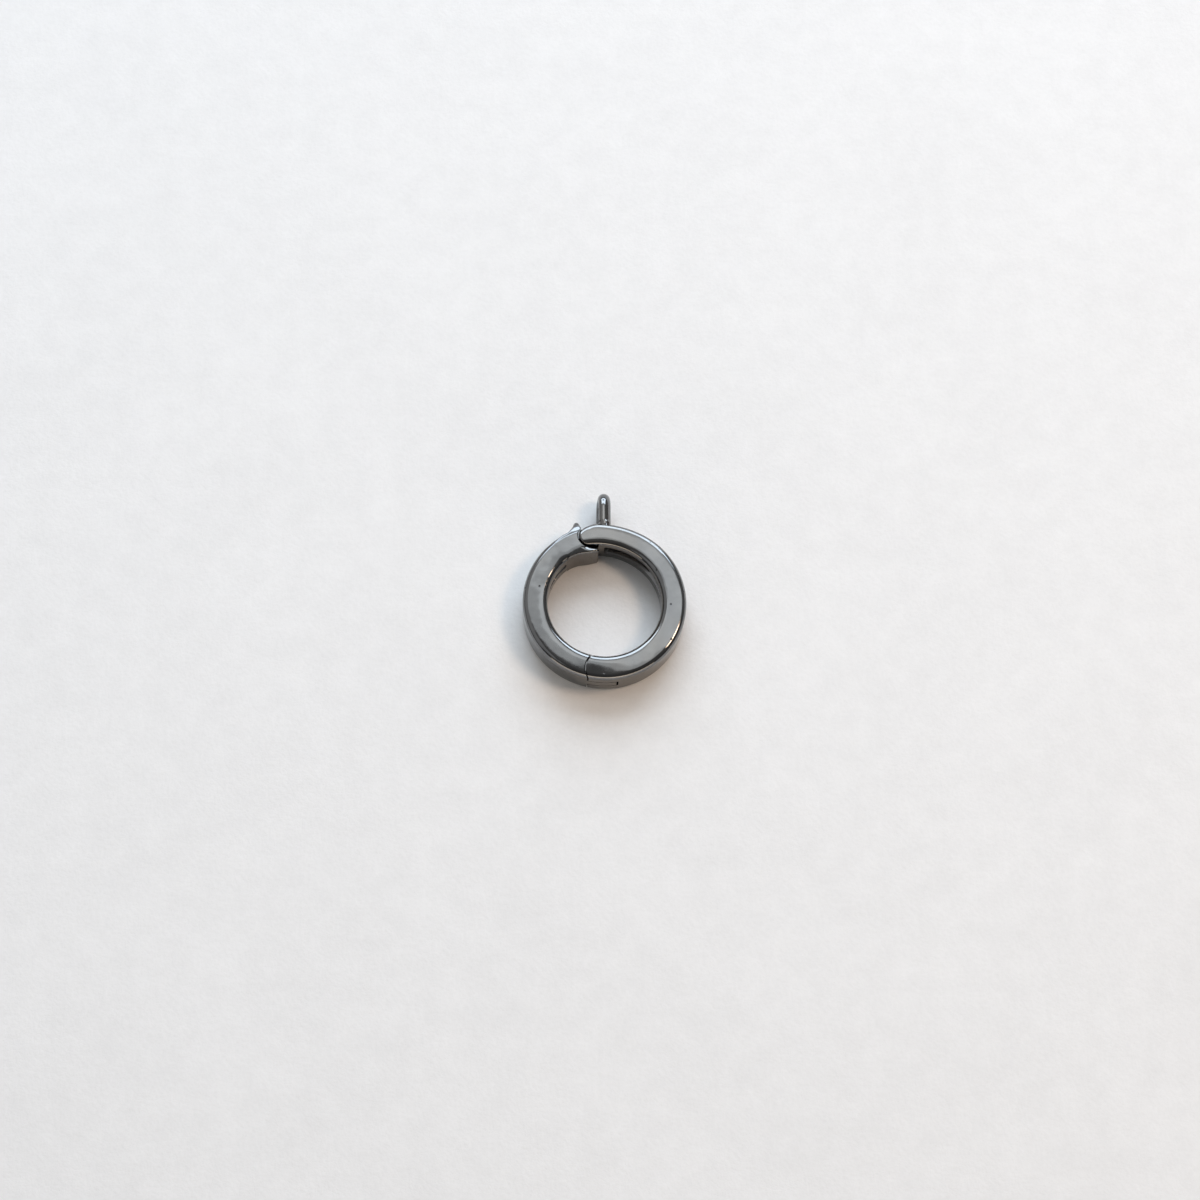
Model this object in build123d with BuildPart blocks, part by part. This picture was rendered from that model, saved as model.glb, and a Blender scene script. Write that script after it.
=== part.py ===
from build123d import *
import os
from math import radians, sin

os.makedirs("parts", exist_ok=True)

# A round hinged clasp lying flat: two half rings of plated casting on one pin, with a bail cast on.
# Origin: centre of the ring, in the plane of the face it lies on. +Z up, +Y towards the bail.
# Sizes in millimetres and degrees. Angles are counted from +X, anticlockwise seen from above.

# --- ring ---
inner_radius = 5.6
wall = 2.4
thickness = 3.5
outer_edge_round = 0.5
inner_edge_round = 0.4
under_bevel = 0.3
edge_break = 0.08
bevel_slope = 45
outer_radius = inner_radius + wall
mid_height = thickness / 2
fine = 0.001
hinge_side = -90

# --- hinge: a tongue of the left half between two ears of the right half ---
pin_across = -0.15
pin_inset = 1.05
pin_radius = 0.5
pin_clearance = 0.03
ear_radius = 1.7
seam_gap = 0.1
tongue_thickness = 0.95
tongue_clearance = 0.08
tongue_radius = 1.62
tongue_end_gap = 0.13
tongue_root = 20
pivot = (pin_across, pin_inset - outer_radius)
slot_radius = tongue_radius + tongue_end_gap
slot_height = tongue_thickness + 2 * tongue_clearance

# --- nose: the free end of the right half, which swells past the ring ---
swell_start = 65
swell_flattening = 2.0
swell_sweep = 22
hollow_start = 50
hollow_flattening = 1.1
hollow_sweep = 46.5
nose_radius = 1.04
nose_sweep = 132
nose_turn = 8
nose_edge_round = 0.22
swell_radius = outer_radius + swell_flattening
hollow_radius = inner_radius + hollow_flattening

# --- catch: seat, thumb tab and lip at the free end of the left half ---
catch_gap = 0.12
seat_top = 110
tab_start = 118.5
tab_lead_inset = 4.0
tab_lead_sweep = 26
tab_flare_radius = 1.6
tab_flare_sweep = 47.5
tab_tip_radius = 0.3
tab_tip_sweep = 144
tab_flank = 1.1
tab_edge_round = 0.25
tab_crest_inset = 0.8
tab_crown_radius = 3.5
tab_crown_sweep = 30
tab_lead_radius = outer_radius - tab_lead_inset
lip_start = 133
lip_lead = 1.5
lip_belly_swell = 0.3
lip_belly_sweep = 39
lip_beak_radius = 3.1
lip_beak_sweep = 8
lip_run = 1.0
lip_tip_round = 0.26
lip_edge_round = 0.18
lip_roll = 1.0
lip_roll_start = 0.47
lip_roll_heading = 65
lip_belly_radius = inner_radius / 2 + lip_belly_swell

# --- grooves sunk along the inner wall: angles of the tail, of the full height and of the blunt end ---
groove_depth = 0.7
groove_corner = 0.2
nose_groove = (14, 38, 91.5)
nose_groove_height = 1.55
nose_groove_tail = 0.6
nose_groove_lift = 0.25
lip_groove = (161, 150, 131)
lip_groove_height = 0.8
lip_groove_tail = 0.4
lip_groove_lift = 0

# --- bail: a round wire bent to a U, on edge against the nose ---
wire_radius = 0.6
bail_outer_radius = 1.7
bail_stand = 2.06
bail_twist = 4
bail_sink = 0.4
bail_foot_width = 1.6
bail_foot_height = 3.0
bail_foot_depth = 0.9
bail_foot_corner = 0.575
bail_foot_taper = 18
bail_bend_radius = bail_outer_radius - wire_radius
bail_centre = outer_radius + bail_stand
bail_root = outer_radius - bail_sink

outer_wall = Edge.make_circle(outer_radius)
inner_wall = Edge.make_circle(inner_radius)


def above(rim, outline):
    """Whether an edge runs straight above, or below, one of the lines of an outline."""
    middle = rim @ 0.5
    return min(line.distance_to(Vertex(middle.X, middle.Y, 0)) for line in outline) < fine


def lying(part):
    """The edges of a part that don't stand upright."""
    return part.edges().filter_by(Axis.Z, reverse=True)


def rims(part, side, *outline):
    """The edges of one face of a flat part, 0 below and -1 above, that run along an outline."""
    return [rim for rim in part.edges().group_by(Axis.Z)[side] if above(rim, outline)]


def clockwise_to(angle):
    """The arc size that runs clockwise from the hinge side to an angle."""
    return angle - 360 - hinge_side


def groove(angles, height, tail_height, lift):
    """A slot sunk into the inner wall, which widens from its tail and keeps its height to its blunt end."""
    middle = (angles[0] + angles[-1]) / 2
    tail, full, end = [inner_radius * sin(radians(angle - middle)) for angle in angles]
    outward = Vector(1, 0, 0).rotate(Axis.Z, middle)
    facing = Plane(origin=(0, 0, mid_height + lift), x_dir=outward.rotate(Axis.Z, 90), z_dir=outward)
    with BuildPart() as cutter:
        with BuildSketch(facing.offset(inner_radius / 2)):
            with Locations((tail, 0)):
                Circle(tail_height / 2)
            with Locations(((full + end) / 2, 0)):
                RectangleRounded(abs(end - full), height, groove_corner)
            make_hull()
        extrude(amount=inner_radius)
        with BuildSketch():
            Circle(inner_radius + groove_depth)
        extrude(amount=thickness, mode=Mode.INTERSECT)
    return cutter.part


def hinge_disc(radius, height):
    """A disc about the pin, centred in the ring's thickness."""
    with BuildPart() as disc:
        with BuildSketch(Plane.XY.offset(mid_height - height / 2)):
            with Locations(pivot):
                Circle(radius)
        extrude(amount=height)
    return disc.part


def room(plan):
    """A plan cut right through the thickness, with its edges broken at both faces."""
    with BuildPart() as cutter:
        with BuildSketch(Plane.XY.offset(edge_break)):
            add(plan)
        extrude(amount=thickness - 2 * edge_break)
        extrude(cutter.faces().sort_by(Axis.Z)[0], amount=edge_break, taper=-bevel_slope)
        extrude(cutter.faces().sort_by(Axis.Z)[-1], amount=edge_break, taper=-bevel_slope)
    return cutter.part


# ---------------------------------------------------------------- right half
with BuildSketch() as knuckle:
    with Locations(pivot):
        Circle(ear_radius)
    Circle(outer_radius, mode=Mode.INTERSECT)
    Circle(inner_radius, mode=Mode.SUBTRACT)

with BuildSketch() as right_plan:
    with BuildLine():
        outer = CenterArc((0, 0), outer_radius, hinge_side, swell_start - hinge_side)
        swell = JernArc(outer @ 1, outer % 1, swell_radius, swell_sweep)
        inner = CenterArc((0, 0), inner_radius, hinge_side, hollow_start - hinge_side)
        hollow = JernArc(inner @ 1, inner % 1, hollow_radius, hollow_sweep)
        tip = JernArc(hollow @ 1, (hollow % 1).rotate(Axis.Z, -nose_turn), nose_radius, -nose_sweep)
        brow = TangentArc(swell @ 1, tip @ 1, tangent=swell % 1)
        Line(inner @ 0, outer @ 0)
    make_face()
    add(knuckle.sketch)
nose_centre = tip.arc_center

with BuildPart() as bail:
    across = Vector(1, 0, 0).rotate(Axis.Y, bail_twist)
    with BuildLine(Plane(origin=(0, 0, mid_height), x_dir=(0, 1, 0), z_dir=across)) as bail_path:
        leg = Line((bail_root, -bail_bend_radius), (bail_centre, -bail_bend_radius))
        bend = JernArc(leg @ 1, leg % 1, bail_bend_radius, 180)
        Line(bend @ 1, (bail_root, bail_bend_radius))
    with BuildSketch(Plane(origin=leg @ 0, z_dir=leg % 0)):
        Circle(wire_radius)
    sweep(path=bail_path.line)
    with BuildSketch(Plane(origin=(0, bail_root, mid_height), x_dir=(1, 0, 0), z_dir=(0, 1, 0))):
        RectangleRounded(bail_foot_width, bail_foot_height, bail_foot_corner)
    extrude(amount=bail_foot_depth, taper=bail_foot_taper)

with BuildPart() as right_half:
    with BuildSketch(Plane.XY.offset(under_bevel)):
        add(right_plan.sketch)
    extrude(amount=thickness - under_bevel)
    extrude(right_half.faces().sort_by(Axis.Z)[0], amount=under_bevel, taper=bevel_slope)
    fillet(rims(right_half, -1, inner_wall, hollow), inner_edge_round)
    fillet(rims(right_half, -1, outer_wall, swell, brow), outer_edge_round)
    fillet(rims(right_half, -1, tip), nose_edge_round)
    add(groove(nose_groove, nose_groove_height, nose_groove_tail, nose_groove_lift), mode=Mode.SUBTRACT)
    add(hinge_disc(slot_radius, slot_height), mode=Mode.SUBTRACT)
    add(hinge_disc(pin_radius, thickness), mode=Mode.SUBTRACT)
    add(bail.part)
right_half.part.label = "right_half"
export_step(right_half.part, "parts/right_half.step")

# ---------------------------------------------------------------- left half
with BuildSketch() as nose_room:
    offset(right_plan.sketch, amount=catch_gap)

with BuildPart() as band:
    with BuildSketch():
        with BuildLine():
            band_outer = CenterArc((0, 0), outer_radius, hinge_side, clockwise_to(seat_top))
            band_inner = CenterArc((0, 0), inner_radius, hinge_side, clockwise_to(seat_top))
            Line(band_inner @ 0, band_outer @ 0)
            Line(band_inner @ 1, band_outer @ 1)
        make_face()
    extrude(amount=thickness)
    fillet(rims(band, -1, outer_wall), outer_edge_round)
    fillet(rims(band, -1, inner_wall), inner_edge_round)
    chamfer(rims(band, 0, outer_wall, inner_wall), under_bevel)

with BuildPart() as tab:
    with BuildSketch():
        with BuildLine():
            wall_arc = CenterArc((0, 0), outer_radius, hinge_side, clockwise_to(tab_start), mode=Mode.PRIVATE)
            lead = JernArc(wall_arc @ 1, (wall_arc % 1) * -1, tab_lead_radius, tab_lead_sweep)
            flare = JernArc(wall_arc @ 1, wall_arc % 1, tab_flare_radius, tab_flare_sweep)
            tab_tip = JernArc(flare @ 1, flare % 1, tab_tip_radius, -tab_tip_sweep)
            flank = Line(tab_tip @ 1, tab_tip @ 1 + (tab_tip % 1) * tab_flank)
            Polyline(flank @ 1, nose_centre, lead @ 1)
        make_face()
    tab_outline = (lead, flare, tab_tip, flank)
    extrude(amount=thickness)
    with BuildSketch(Plane.XZ):
        with BuildLine():
            low = (outer_radius - tab_crest_inset, tab_crown_radius)
            high = (outer_radius - tab_crest_inset, thickness - tab_crown_radius)
            under = CenterArc(low, tab_crown_radius, 270 - tab_crown_sweep, 2 * tab_crown_sweep)
            over = CenterArc(high, tab_crown_radius, 90 - tab_crown_sweep, 2 * tab_crown_sweep)
            Line(under @ 0, over @ 1)
            Line(under @ 1, over @ 0)
        make_face()
    revolve(axis=Axis.Z, mode=Mode.INTERSECT)
    fillet([edge for edge in lying(tab) if above(edge, tab_outline)], tab_edge_round)

with BuildPart() as lip:
    with BuildSketch() as lip_plan:
        with BuildLine():
            wall_arc = CenterArc((0, 0), inner_radius, hinge_side, clockwise_to(lip_start), mode=Mode.PRIVATE)
            lip_root = Line(wall_arc @ 1 - (wall_arc % 1) * lip_lead, wall_arc @ 1)
            belly = JernArc(wall_arc @ 1, wall_arc % 1, lip_belly_radius, -lip_belly_sweep)
            beak = JernArc(belly @ 1, belly % 1, lip_beak_radius, lip_beak_sweep)
            run = Line(beak @ 1, beak @ 1 + (beak % 1) * lip_run)
            lip_end = (run @ 1).X
            within = (lip_root @ 0) * ((inner_radius + wall / 2) / inner_radius)
            Polyline(run @ 1, (lip_end, nose_centre.Y), nose_centre, within, lip_root @ 0)
        make_face()
        add(nose_room.sketch, mode=Mode.SUBTRACT)
        fillet(lip_plan.vertices().filter_by(lambda corner: abs(corner.X - lip_end) < fine), lip_tip_round)
    tip_front = lip_plan.edges().filter_by(lambda line: (line @ 0.5).X > lip_end - lip_tip_round)
    lip_outline = [lip_root, belly, beak, run] + tip_front
    extrude(amount=thickness)
    forward = Vector(1, 0, 0).rotate(Axis.Z, lip_roll_heading)
    lip_front = (lip_end, (run @ 1).Y, mid_height)
    upright = Plane(origin=lip_front, x_dir=forward, z_dir=forward.rotate(Axis.Z, -90))
    with BuildSketch(upright) as roll:
        with Locations((lip_roll - lip_roll_start - wall, 0)):
            Rectangle(2 * wall, thickness)
        fillet(roll.vertices().sort_by(Axis.X)[-2:], lip_roll)
    extrude(amount=wall, both=True, mode=Mode.INTERSECT)
    upper = [edge for edge in lying(lip) if (edge @ 0.5).Z > mid_height]
    fillet([edge for edge in upper if above(edge, lip_outline)], lip_edge_round)

with BuildPart() as tongue:
    with BuildSketch(Plane.XY.offset(mid_height - tongue_thickness / 2)):
        with Locations(pivot):
            Circle(tongue_radius)
        Circle(outer_radius, mode=Mode.INTERSECT)
        with BuildLine():
            root_outer = CenterArc((0, 0), outer_radius, hinge_side, -tongue_root)
            root_inner = CenterArc((0, 0), inner_radius, hinge_side, -tongue_root)
            Line(root_inner @ 0, root_outer @ 0)
            Line(root_inner @ 1, root_outer @ 1)
        make_face()
        Circle(inner_radius, mode=Mode.SUBTRACT)
    extrude(amount=tongue_thickness)

with BuildSketch() as ear_room:
    with Locations(pivot):
        Circle(ear_radius + seam_gap)

with BuildPart() as left_half:
    add(band.part)
    add(tab.part)
    add(room(nose_room.sketch), mode=Mode.SUBTRACT)
    add(lip.part)
    add(room(ear_room.sketch), mode=Mode.SUBTRACT)
    add(groove(lip_groove, lip_groove_height, lip_groove_tail, lip_groove_lift), mode=Mode.SUBTRACT)
    add(tongue.part)
    add(hinge_disc(pin_radius + pin_clearance, thickness), mode=Mode.SUBTRACT)
left_half.part.label = "left_half"
export_step(left_half.part, "parts/left_half.step")

# ---------------------------------------------------------------- hinge pin
with BuildPart() as hinge_pin:
    with BuildSketch():
        with Locations(pivot):
            Circle(pin_radius)
    extrude(amount=thickness)
hinge_pin.part.label = "hinge_pin"
export_step(hinge_pin.part, "parts/hinge_pin.step")
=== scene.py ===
from math import cos, pi, radians, sin, tan

import bpy
from mathutils import Matrix, Vector


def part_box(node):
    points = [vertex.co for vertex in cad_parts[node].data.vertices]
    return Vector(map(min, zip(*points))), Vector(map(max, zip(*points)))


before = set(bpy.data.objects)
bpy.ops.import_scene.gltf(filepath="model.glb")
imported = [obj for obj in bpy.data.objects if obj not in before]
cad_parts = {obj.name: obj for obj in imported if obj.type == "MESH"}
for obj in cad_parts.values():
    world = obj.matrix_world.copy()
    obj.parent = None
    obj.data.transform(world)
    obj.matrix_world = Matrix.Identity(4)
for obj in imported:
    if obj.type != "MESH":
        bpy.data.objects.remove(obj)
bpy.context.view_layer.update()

# A hinged ring clasp in gunmetal plating, lying on white paper under a cool window and a small warm lamp.
# The halves and the pin are the CAD nodes as they are; this script gives them their finish, the paper,
# the light and the camera. Metres, +Z up, +Y towards the bail.

MM = 0.001
CENTRE = (0, 0, 0)

# ---------------------------------------------------------------- camera
TILT = radians(19.5)            # off the vertical
AZIMUTH = radians(6.4)          # the camera stands this far west of south
DISTANCE = 255 * MM
LENS, SENSOR = 78, 36
NEAREST = 10 * MM
ACROSS, UP = -0.40 * MM, 0.64 * MM


def add_camera(centre):
    """High over the ring, a little south and west of it."""
    data = bpy.data.cameras.new("camera")
    data.lens = LENS
    data.sensor_width = SENSOR
    data.clip_start = NEAREST
    camera = bpy.data.objects.new("camera", data)
    bpy.context.scene.collection.objects.link(camera)
    turn = Matrix.Rotation(TILT, 4, Vector((cos(AZIMUTH), -sin(AZIMUTH), 0)))
    place = turn @ Vector((ACROSS, UP, DISTANCE))
    camera.matrix_world = Matrix.Translation(centre + place) @ turn
    bpy.context.scene.camera = camera


low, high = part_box("right_half")
ring_centre = Vector((0, 0, (low.z + high.z) / 2))
add_camera(ring_centre)


# ---------------------------------------------------------------- node helpers
class Graph:
    """A material and short ways to add and join its nodes."""

    def __init__(self, name):
        self.material = bpy.data.materials.new(name)
        self.material.use_nodes = True
        self.nodes = self.material.node_tree.nodes
        self.links = self.material.node_tree.links
        self.shader = self.nodes["Principled BSDF"]

    def add(self, kind, **settings):
        """A new node with its settings."""
        node = self.nodes.new(kind)
        for setting, value in settings.items():
            setattr(node, setting, value)
        return node

    def put(self, socket, value):
        """A value, a colour or another node's output into a socket."""
        if isinstance(value, bpy.types.NodeSocket):
            self.links.new(value, socket)
        else:
            socket.default_value = value

    def surface(self, socket, value):
        """A value, a colour or another node's output into the shader."""
        self.put(self.shader.inputs[socket], value)

    def place(self):
        """Where a point is on the object, in metres."""
        return self.add("ShaderNodeTexCoord").outputs["Object"]

    def split(self, vector):
        """The X, Y and Z of a vector or a colour."""
        node = self.add("ShaderNodeSeparateXYZ")
        self.put(node.inputs["Vector"], vector)
        return node.outputs

    def vector(self, operation, first, second, result="Vector"):
        """Two vectors joined by an operation."""
        node = self.add("ShaderNodeVectorMath", operation=operation)
        self.put(node.inputs[0], first)
        self.put(node.inputs[1], second)
        return node.outputs[result]

    def distance(self, vector, point):
        """How far a vector lies from a point."""
        return self.vector("DISTANCE", vector, point, "Value")

    def math(self, operation, *values):
        """Numbers joined by an operation."""
        node = self.add("ShaderNodeMath", operation=operation)
        for socket, value in zip(node.inputs, values):
            self.put(socket, value)
        return node.outputs["Value"]

    def noise(self, vector, size, detail, roughness=0.5, stretch=(1, 1, 1)):
        """Soft random values from 0 to 1 whose patches are about size metres across."""
        mapping = self.add("ShaderNodeMapping")
        self.put(mapping.inputs["Vector"], vector)
        mapping.inputs["Scale"].default_value = stretch
        node = self.add("ShaderNodeTexNoise")
        self.put(node.inputs["Vector"], mapping.outputs["Vector"])
        node.inputs["Scale"].default_value = 1 / size
        node.inputs["Detail"].default_value = detail
        node.inputs["Roughness"].default_value = roughness
        return node.outputs["Fac"]

    def span(self, value, start, end, low=0.0, high=1.0):
        """A value taken softly from one span to another, and held at its ends."""
        node = self.add("ShaderNodeMapRange", interpolation_type="SMOOTHSTEP")
        self.put(node.inputs["Value"], value)
        for socket, number in zip(("From Min", "From Max", "To Min", "To Max"), (start, end, low, high)):
            node.inputs[socket].default_value = number
        return node.outputs["Result"]

    def mix(self, share, first, second):
        """Two colours mixed by a share. The node's colours are its sockets 6 and 7."""
        node = self.add("ShaderNodeMix", data_type="RGBA")
        for socket, value in zip((0, 6, 7), (share, first, second)):
            self.put(node.inputs[socket], value)
        return node.outputs[2]

    def mix_values(self, share, first, second):
        """Two numbers mixed by a share. The node's numbers are its sockets 2 and 3."""
        node = self.add("ShaderNodeMix", data_type="FLOAT")
        for socket, value in zip((0, 2, 3), (share, first, second)):
            self.put(node.inputs[socket], value)
        return node.outputs[0]

    def bump(self, height):
        """The normal of a surface with a relief of that height, in metres."""
        node = self.add("ShaderNodeBump")
        node.inputs["Strength"].default_value = 1.0
        node.inputs["Distance"].default_value = 1.0
        self.put(node.inputs["Height"], height)
        return node.outputs["Normal"]


# ---------------------------------------------------------------- form of the faces
# The wheel has turned the two faces down a little towards their edges: by a slope where the edge
# rounding starts, and by a third of it one reach further in. An edge is a circle, and at the nose
# of the right half it passes at a heading into a second one that it touches there.
EDGE_ROUND = 0.42 * MM
INNER_CROWN = (0.24, 0.2 * MM)              # slope, reach
OUTER_CROWN = (0.10, 0.25 * MM)
INNER_RADIUS, OUTER_RADIUS = 5.6 * MM, 8.0 * MM
HOLLOW_RADIUS, HOLLOW_HEADING = 6.7 * MM, radians(50)
SWELL_RADIUS, SWELL_HEADING = 10.0 * MM, radians(65)

# The bail is turned a little to the east, and the left half leans a little to the south.
BAIL_FOOT, BAIL_FADE, BAIL_TURN = 8.3 * MM, 0.3 * MM, 0.22
LEFT_LEAN = 0.034

# The lip and the tab have no crown. Past its start each roll gains so much slope for each metre.
LIP_MIDDLE, LIP_SPAN = (-2.0 * MM, 5.4 * MM, 0), (1.7 * MM, 2.8 * MM)
TAB_MIDDLE, TAB_SPAN = (-3.4 * MM, 7.3 * MM, 0), (1.8 * MM, 2.8 * MM)
LIP_ROLL_START, LIP_ROLL = 6.35 * MM, 250
LIP_TIP, LIP_TIP_SPAN = (-0.7 * MM, 5.2 * MM, 0), (0.6 * MM, 1.5 * MM)
SEAT_ROLL_START, SEAT_ROLL = 0.62 * MM, 2000
TAB_HEADING, TAB_ROLL_START, TAB_ROLL = radians(112), 8.0 * MM, 1600

# Beside the hinge's joint line the faces are dubbed off: their outer edges drop by this much.
JOINT_MIDDLE, JOINT_SPAN = (-2.2 * MM, -6.7 * MM, 0), (1.0 * MM, 5.5 * MM)
DUBBED_SPAN = (5.4 * MM, 8.4 * MM)          # from the ring's centre
RIGHT_DUBBING = 0.150 * MM
LEFT_DUBBING = 0.020 * MM


def touching(radius, second, heading):
    """The centre of a second circle that touches the first, about the origin, at a heading."""
    return ((radius - second) * cos(heading), (radius - second) * sin(heading), 0)


def from_circle(graph, flat, centre, radius):
    """How far outside a circle a point lies."""
    return graph.math("SUBTRACT", graph.distance(flat, centre), radius)


def from_edge(graph, flat, radius, second, heading):
    """How far outside an edge of the right half a point lies."""
    plain = from_circle(graph, flat, CENTRE, radius)
    beyond = from_circle(graph, flat, touching(radius, second, heading), second)
    side = graph.vector("DOT_PRODUCT", flat, (-sin(heading), cos(heading), 0), "Value")
    passed = graph.math("GREATER_THAN", side, 0.0)
    return graph.mix_values(passed, plain, beyond)


def crown(graph, inside, slope, reach):
    """The height of the crown at a distance inside an edge, in metres, under the middle of the face."""
    past = graph.math("SUBTRACT", inside, EDGE_ROUND)
    far = graph.math("MAXIMUM", past, 0.0)
    edge = graph.math("MAXIMUM", graph.math("MINIMUM", past, 0.0), -EDGE_ROUND)
    fading = graph.math("EXPONENT", graph.math("DIVIDE", far, -reach))
    fallen = graph.math("SUBTRACT", edge, graph.math("MULTIPLY", fading, reach))
    return graph.math("MULTIPLY", fallen, slope)


def rolled(graph, past, bend):
    """The height of a surface that bends down past a line, by that much slope for each metre."""
    within = graph.math("MAXIMUM", past, 0.0)
    return graph.math("MULTIPLY", graph.math("MULTIPLY", within, within), -bend / 2)


def right_form(graph, flat, parts):
    """The right half's crowned edges and the turn of its bail."""
    inside_hole = from_edge(graph, flat, INNER_RADIUS, HOLLOW_RADIUS, HOLLOW_HEADING)
    outside = from_edge(graph, flat, OUTER_RADIUS, SWELL_RADIUS, SWELL_HEADING)
    inner_crown = crown(graph, inside_hole, *INNER_CROWN)
    outer_crown = crown(graph, graph.math("MULTIPLY", outside, -1.0), *OUTER_CROWN)
    crowns = graph.math("ADD", inner_crown, outer_crown)
    on_bail = graph.span(parts["Y"], BAIL_FOOT, BAIL_FOOT + BAIL_FADE)
    turned = graph.math("MULTIPLY", parts["X"], -BAIL_TURN)
    return graph.math("MULTIPLY_ADD", turned, on_bail, crowns)


def lip_form(graph, flat, from_centre):
    """The lip, which rolls down towards the hole and, at its tip, towards the nose over it."""
    to_hole = rolled(graph, graph.math("SUBTRACT", LIP_ROLL_START, from_centre), LIP_ROLL)
    hollow_centre = touching(INNER_RADIUS, HOLLOW_RADIUS, HOLLOW_HEADING)
    from_nose = from_circle(graph, flat, hollow_centre, HOLLOW_RADIUS)
    to_nose = rolled(graph, graph.math("ADD", from_nose, SEAT_ROLL_START), SEAT_ROLL)
    on_tip = graph.span(graph.distance(flat, LIP_TIP), *LIP_TIP_SPAN, 1, 0)
    return graph.math("MULTIPLY_ADD", to_nose, on_tip, to_hole)


def tab_form(graph, flat):
    """The thumb tab's tip, which rolls down outwards."""
    along = graph.vector("DOT_PRODUCT", flat, (cos(TAB_HEADING), sin(TAB_HEADING), 0), "Value")
    return rolled(graph, graph.math("SUBTRACT", along, TAB_ROLL_START), TAB_ROLL)


def left_form(graph, flat, parts):
    """The left half's crowned edges, its lean, and the rolls of its lip and tab."""
    from_centre = graph.distance(flat, CENTRE)
    inner_crown = crown(graph, graph.math("SUBTRACT", from_centre, INNER_RADIUS), *INNER_CROWN)
    outer_crown = crown(graph, graph.math("SUBTRACT", OUTER_RADIUS, from_centre), *OUTER_CROWN)
    off_lip = graph.span(graph.distance(flat, LIP_MIDDLE), *LIP_SPAN)
    off_tab = graph.span(graph.distance(flat, TAB_MIDDLE), *TAB_SPAN)
    inner_side = graph.mix_values(off_lip, lip_form(graph, flat, from_centre), inner_crown)
    outer_side = graph.math("MULTIPLY", outer_crown, off_tab)
    crowns = graph.math("ADD", inner_side, outer_side)
    leaning = graph.math("MULTIPLY_ADD", parts["Y"], LEFT_LEAN, crowns)
    return graph.math("ADD", leaning, tab_form(graph, flat))


def dubbed(graph, flat, drop):
    """The drop of a face outwards and beside the joint line."""
    near_joint = graph.span(graph.distance(flat, JOINT_MIDDLE), *JOINT_SPAN, 1, 0)
    outward = graph.span(graph.distance(flat, CENTRE), *DUBBED_SPAN)
    return graph.math("MULTIPLY", graph.math("MULTIPLY", near_joint, outward), -drop)


# ---------------------------------------------------------------- gunmetal plating
USUAL = (0.3, 0.7)              # most values of a noise lie in this span
HIGH = (0.45, 0.75)             # only the high ones lie in this

DARK_PLATING, LIGHT_PLATING = (0.172, 0.176, 0.181, 1), (0.208, 0.212, 0.216, 1)
THIN_PLATING, THIN_SHARE = (0.200, 0.192, 0.182, 1), 0.6
CLOUD_SIZE, THIN_SIZE = 2.4 * MM, 5.5 * MM

GLOSSY, DULL = 0.05, 0.115      # roughness
HAIR_SIZE, HAIR_STRETCH, HAIR_SHARE = 0.3 * MM, (0.2, 1.6, 1), 0.6
FILM_SIZE, FILM_SHARE = 3.5 * MM, 0.4
WAVE_SIZE = 1.7 * MM
WAVE_HEIGHT, HAIR_HEIGHT = 0.02 * MM, 0.0006 * MM

NICK_SPACING, NICK_CHANCE = 1.3 * MM, 0.13
NICK_SPAN = (0.03, 0.10)        # a nick's flat bottom and its rim, in spacings
NICK_COLOUR, NICK_DULLNESS, NICK_DEPTH = (0.05, 0.05, 0.052, 1), 0.3, 0.012 * MM
NICKED = 0.8                    # the faces are nicked, and the walls within this share of the height are not


def nicked(graph, own, parts):
    """1 in a few tiny marks scattered over the two faces, 0 elsewhere."""
    cells = graph.add("ShaderNodeTexVoronoi", voronoi_dimensions="2D")
    graph.put(cells.inputs["Vector"], own)
    cells.inputs["Scale"].default_value = 1 / NICK_SPACING
    lot = graph.split(cells.outputs["Color"])
    chosen = graph.math("GREATER_THAN", lot["X"], 1 - NICK_CHANCE)
    marks = graph.math("MULTIPLY", chosen, graph.span(cells.outputs["Distance"], *NICK_SPAN, 1, 0))
    off_middle = graph.math("ABSOLUTE", graph.math("SUBTRACT", parts["Z"], ring_centre.z))
    on_face = graph.math("GREATER_THAN", off_middle, NICKED * ring_centre.z)
    return graph.math("MULTIPLY", marks, on_face)


def plate(graph, own, nicks):
    """Cloudy plating, a little browner where it is thin."""
    cloud = graph.span(graph.noise(own, CLOUD_SIZE, detail=3), *USUAL)
    thin = graph.span(graph.noise(own, THIN_SIZE, detail=2), *HIGH, 0, THIN_SHARE)
    tone = graph.mix(cloud, DARK_PLATING, LIGHT_PLATING)
    tone = graph.mix(thin, tone, THIN_PLATING)
    graph.surface("Base Color", graph.mix(nicks, tone, NICK_COLOUR))
    graph.surface("Metallic", 1)


def polish(graph, own, nicks, hairs):
    """A gloss broken by polishing hairlines and a film of handling."""
    film = graph.noise(own, FILM_SIZE, detail=3)
    gloss = graph.math("MULTIPLY_ADD", hairs, HAIR_SHARE, graph.math("MULTIPLY", film, FILM_SHARE))
    gloss = graph.span(gloss, *USUAL, GLOSSY, DULL)
    graph.surface("Roughness", graph.math("MULTIPLY_ADD", nicks, NICK_DULLNESS, gloss))


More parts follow.
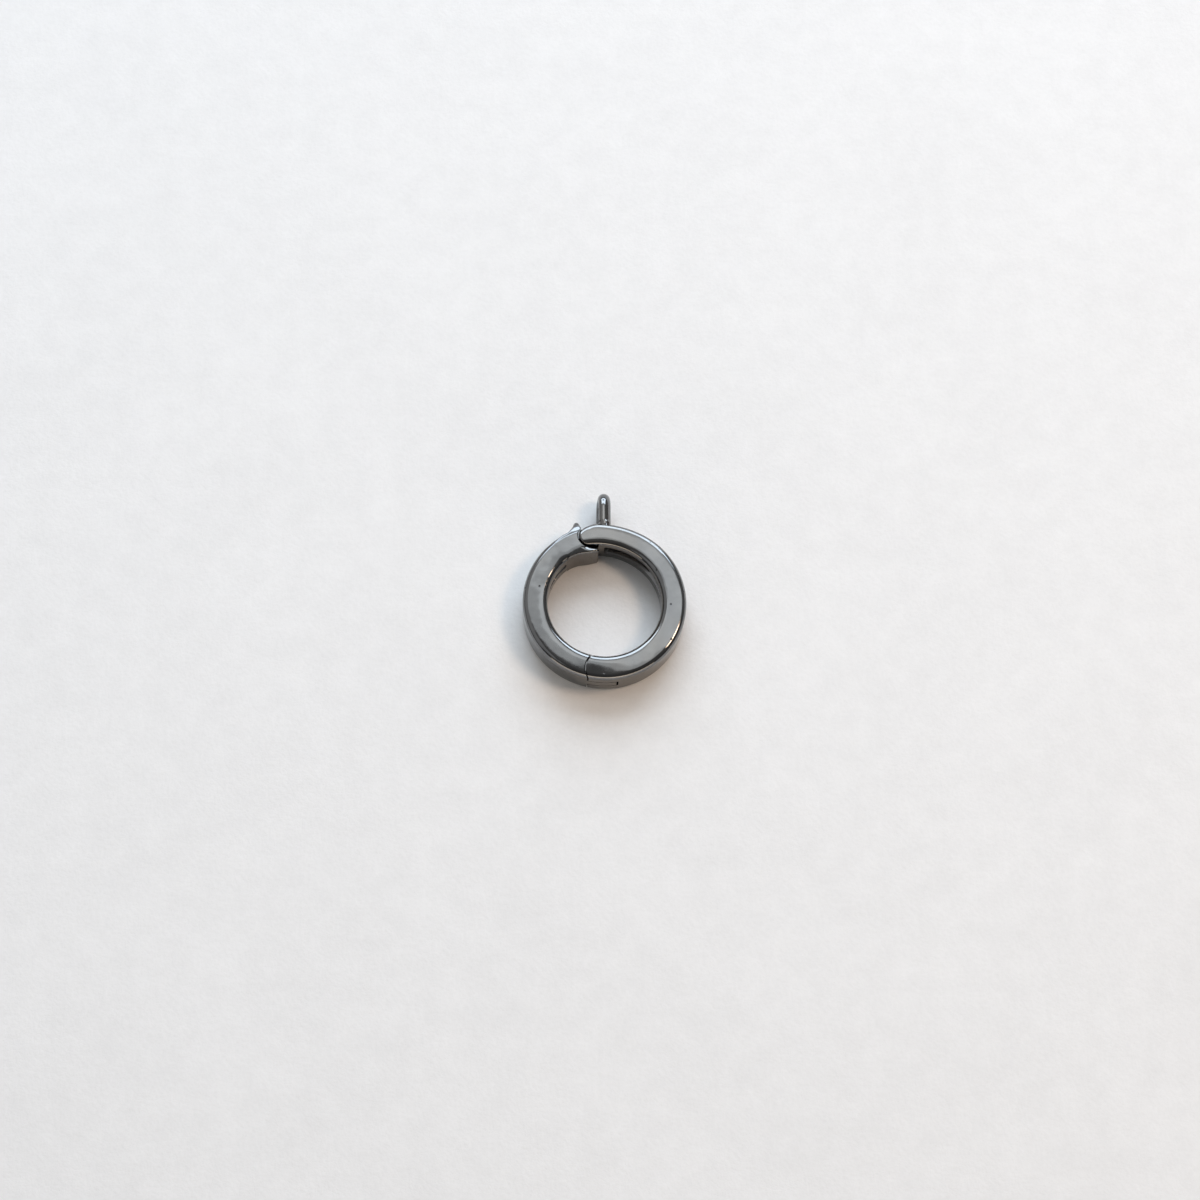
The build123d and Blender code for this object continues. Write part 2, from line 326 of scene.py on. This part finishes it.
def gunmetal(name, pattern_shift, form, dubbing):
    """Dark nickel plating on a polished casting, with the form of its faces and the marks on them."""
    graph = Graph(name)
    place = graph.place()
    parts = graph.split(place)
    levelled = graph.add("ShaderNodeCombineXYZ")
    graph.put(levelled.inputs["X"], parts["X"])
    graph.put(levelled.inputs["Y"], parts["Y"])
    flat = levelled.outputs["Vector"]
    own = graph.vector("ADD", place, (pattern_shift, pattern_shift * 0.7, 0))
    nicks = nicked(graph, own, parts)
    hairs = graph.noise(own, HAIR_SIZE, detail=4, roughness=0.6, stretch=HAIR_STRETCH)
    plate(graph, own, nicks)
    polish(graph, own, nicks, hairs)

    relief = form(graph, flat, parts)
    drop = dubbed(graph, flat, dubbing)
    waves = graph.math("MULTIPLY", graph.noise(own, WAVE_SIZE, detail=1), WAVE_HEIGHT)
    pits = graph.math("MULTIPLY", nicks, -NICK_DEPTH)
    lines = graph.math("MULTIPLY", hairs, HAIR_HEIGHT)
    for layer in (drop, waves, pits, lines):
        relief = graph.math("ADD", relief, layer)
    graph.surface("Normal", graph.bump(relief))
    return graph.material


bail_plating = gunmetal("bail_half_plating", 0.0, right_form, RIGHT_DUBBING)
tab_plating = gunmetal("tab_half_plating", 31 * MM, left_form, LEFT_DUBBING)
for name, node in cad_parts.items():
    node.data.materials.clear()
    node.data.materials.append(tab_plating if name == "left_half" else bail_plating)

# ---------------------------------------------------------------- paper
GRAIN_SIZE, MOTTLE_SIZE, BLOTCH_SIZE = 0.45 * MM, 2.6 * MM, 14 * MM
GRAIN_SHARE, MOTTLE_SHARE, BLOTCH_SHARE = 0.35, 0.4, 0.25
GRAIN_HEIGHT = 0.035 * MM
GREY_PAPER, WHITE_PAPER = (0.785, 0.785, 0.785, 1), (0.865, 0.865, 0.865, 1)
NEARLY_ALL = (0.2, 0.8)         # nearly all values of a noise lie in this span
FLOOR_SIZE = 1.2


def paper():
    """Uncoated white paper: a fine grain over faint mottling."""
    graph = Graph("paper")
    place = graph.place()
    grain = graph.noise(place, GRAIN_SIZE, detail=3, roughness=0.7)
    mottle = graph.noise(place, MOTTLE_SIZE, detail=2, roughness=0.6)
    blotches = graph.noise(place, BLOTCH_SIZE, detail=2)
    share = graph.math("MULTIPLY_ADD", grain, GRAIN_SHARE, graph.math("MULTIPLY", mottle, MOTTLE_SHARE))
    share = graph.span(graph.math("MULTIPLY_ADD", blotches, BLOTCH_SHARE, share), *NEARLY_ALL)
    graph.surface("Base Color", graph.mix(share, GREY_PAPER, WHITE_PAPER))
    graph.surface("Roughness", 0.9)
    graph.surface("Specular IOR Level", 0.2)
    graph.surface("Normal", graph.bump(graph.math("MULTIPLY", grain, GRAIN_HEIGHT)))
    return graph.material


bpy.ops.mesh.primitive_plane_add(size=FLOOR_SIZE, location=CENTRE)
floor = bpy.context.object
floor.name = "floor"
floor.data.materials.append(paper())

# ---------------------------------------------------------------- light
COOL, PALE, WARM, NEUTRAL = (0.77, 0.885, 1.0), (0.96, 0.99, 1.0), (1.0, 0.74, 0.54), (1.0, 1.0, 1.0)
WOOD = (1.0, 0.84, 0.68)
ROOM_COLOUR = (1.0, 0.98, 0.96, 1)
ROOM_SOUTH, ROOM_NORTH = 0.10, 0.26         # the room is brighter towards the window
ROOM_BLEND = 0.6                # the sine of the heading at which each of the two is reached


def panel(name, azimuth, elevation, wide, tall, radiance, colour, distance=0.7):
    """A lamp panel that faces the ring. Its place and size are angles seen from the ring, in degrees."""
    lamp = bpy.data.lights.new(name, "AREA")
    lamp.shape = "RECTANGLE"
    lamp.size = 2 * distance * tan(radians(wide / 2))
    lamp.size_y = 2 * distance * tan(radians(tall / 2))
    lamp.energy = radiance * pi * lamp.size * lamp.size_y
    lamp.color = colour
    stand = bpy.data.objects.new(name, lamp)
    bpy.context.scene.collection.objects.link(stand)
    heading, height = radians(azimuth), radians(elevation)
    place = Vector((cos(heading) * cos(height), sin(heading) * cos(height), sin(height))) * distance
    stand.location = place
    stand.rotation_euler = (-place).to_track_quat("-Z", "Y").to_euler()


def add_room():
    """The dim room round the lamps."""
    world = bpy.data.worlds.new("room")
    bpy.context.scene.world = world
    world.use_nodes = True
    nodes, links = world.node_tree.nodes, world.node_tree.links
    room = nodes["Background"]
    room.inputs["Color"].default_value = ROOM_COLOUR
    heading = nodes.new("ShaderNodeSeparateXYZ")
    links.new(nodes.new("ShaderNodeTexCoord").outputs["Generated"], heading.inputs["Vector"])
    level = nodes.new("ShaderNodeMapRange")
    level.inputs["From Min"].default_value = -ROOM_BLEND
    level.inputs["From Max"].default_value = ROOM_BLEND
    level.inputs["To Min"].default_value = ROOM_SOUTH
    level.inputs["To Max"].default_value = ROOM_NORTH
    links.new(heading.outputs["Y"], level.inputs["Value"])
    links.new(level.outputs["Result"], room.inputs["Strength"])


panel("window", azimuth=88, elevation=33, wide=60, tall=40, radiance=4.65, colour=COOL)
panel("ceiling", azimuth=72, elevation=69.5, wide=40, tall=20, radiance=0.95, colour=PALE)
panel("ceiling_middle", azimuth=72, elevation=70, wide=40, tall=9, radiance=0.66, colour=PALE)
panel("lamp", azimuth=6, elevation=57, wide=13, tall=13, radiance=15.5, colour=WARM, distance=0.5)
panel("wall", azimuth=165, elevation=45, wide=80, tall=60, radiance=0.34, colour=NEUTRAL, distance=0.9)
panel("table", azimuth=-90, elevation=11, wide=100, tall=18, radiance=2.1, colour=WOOD, distance=0.8)
add_room()
bpy.context.scene.view_settings.view_transform = "Standard"
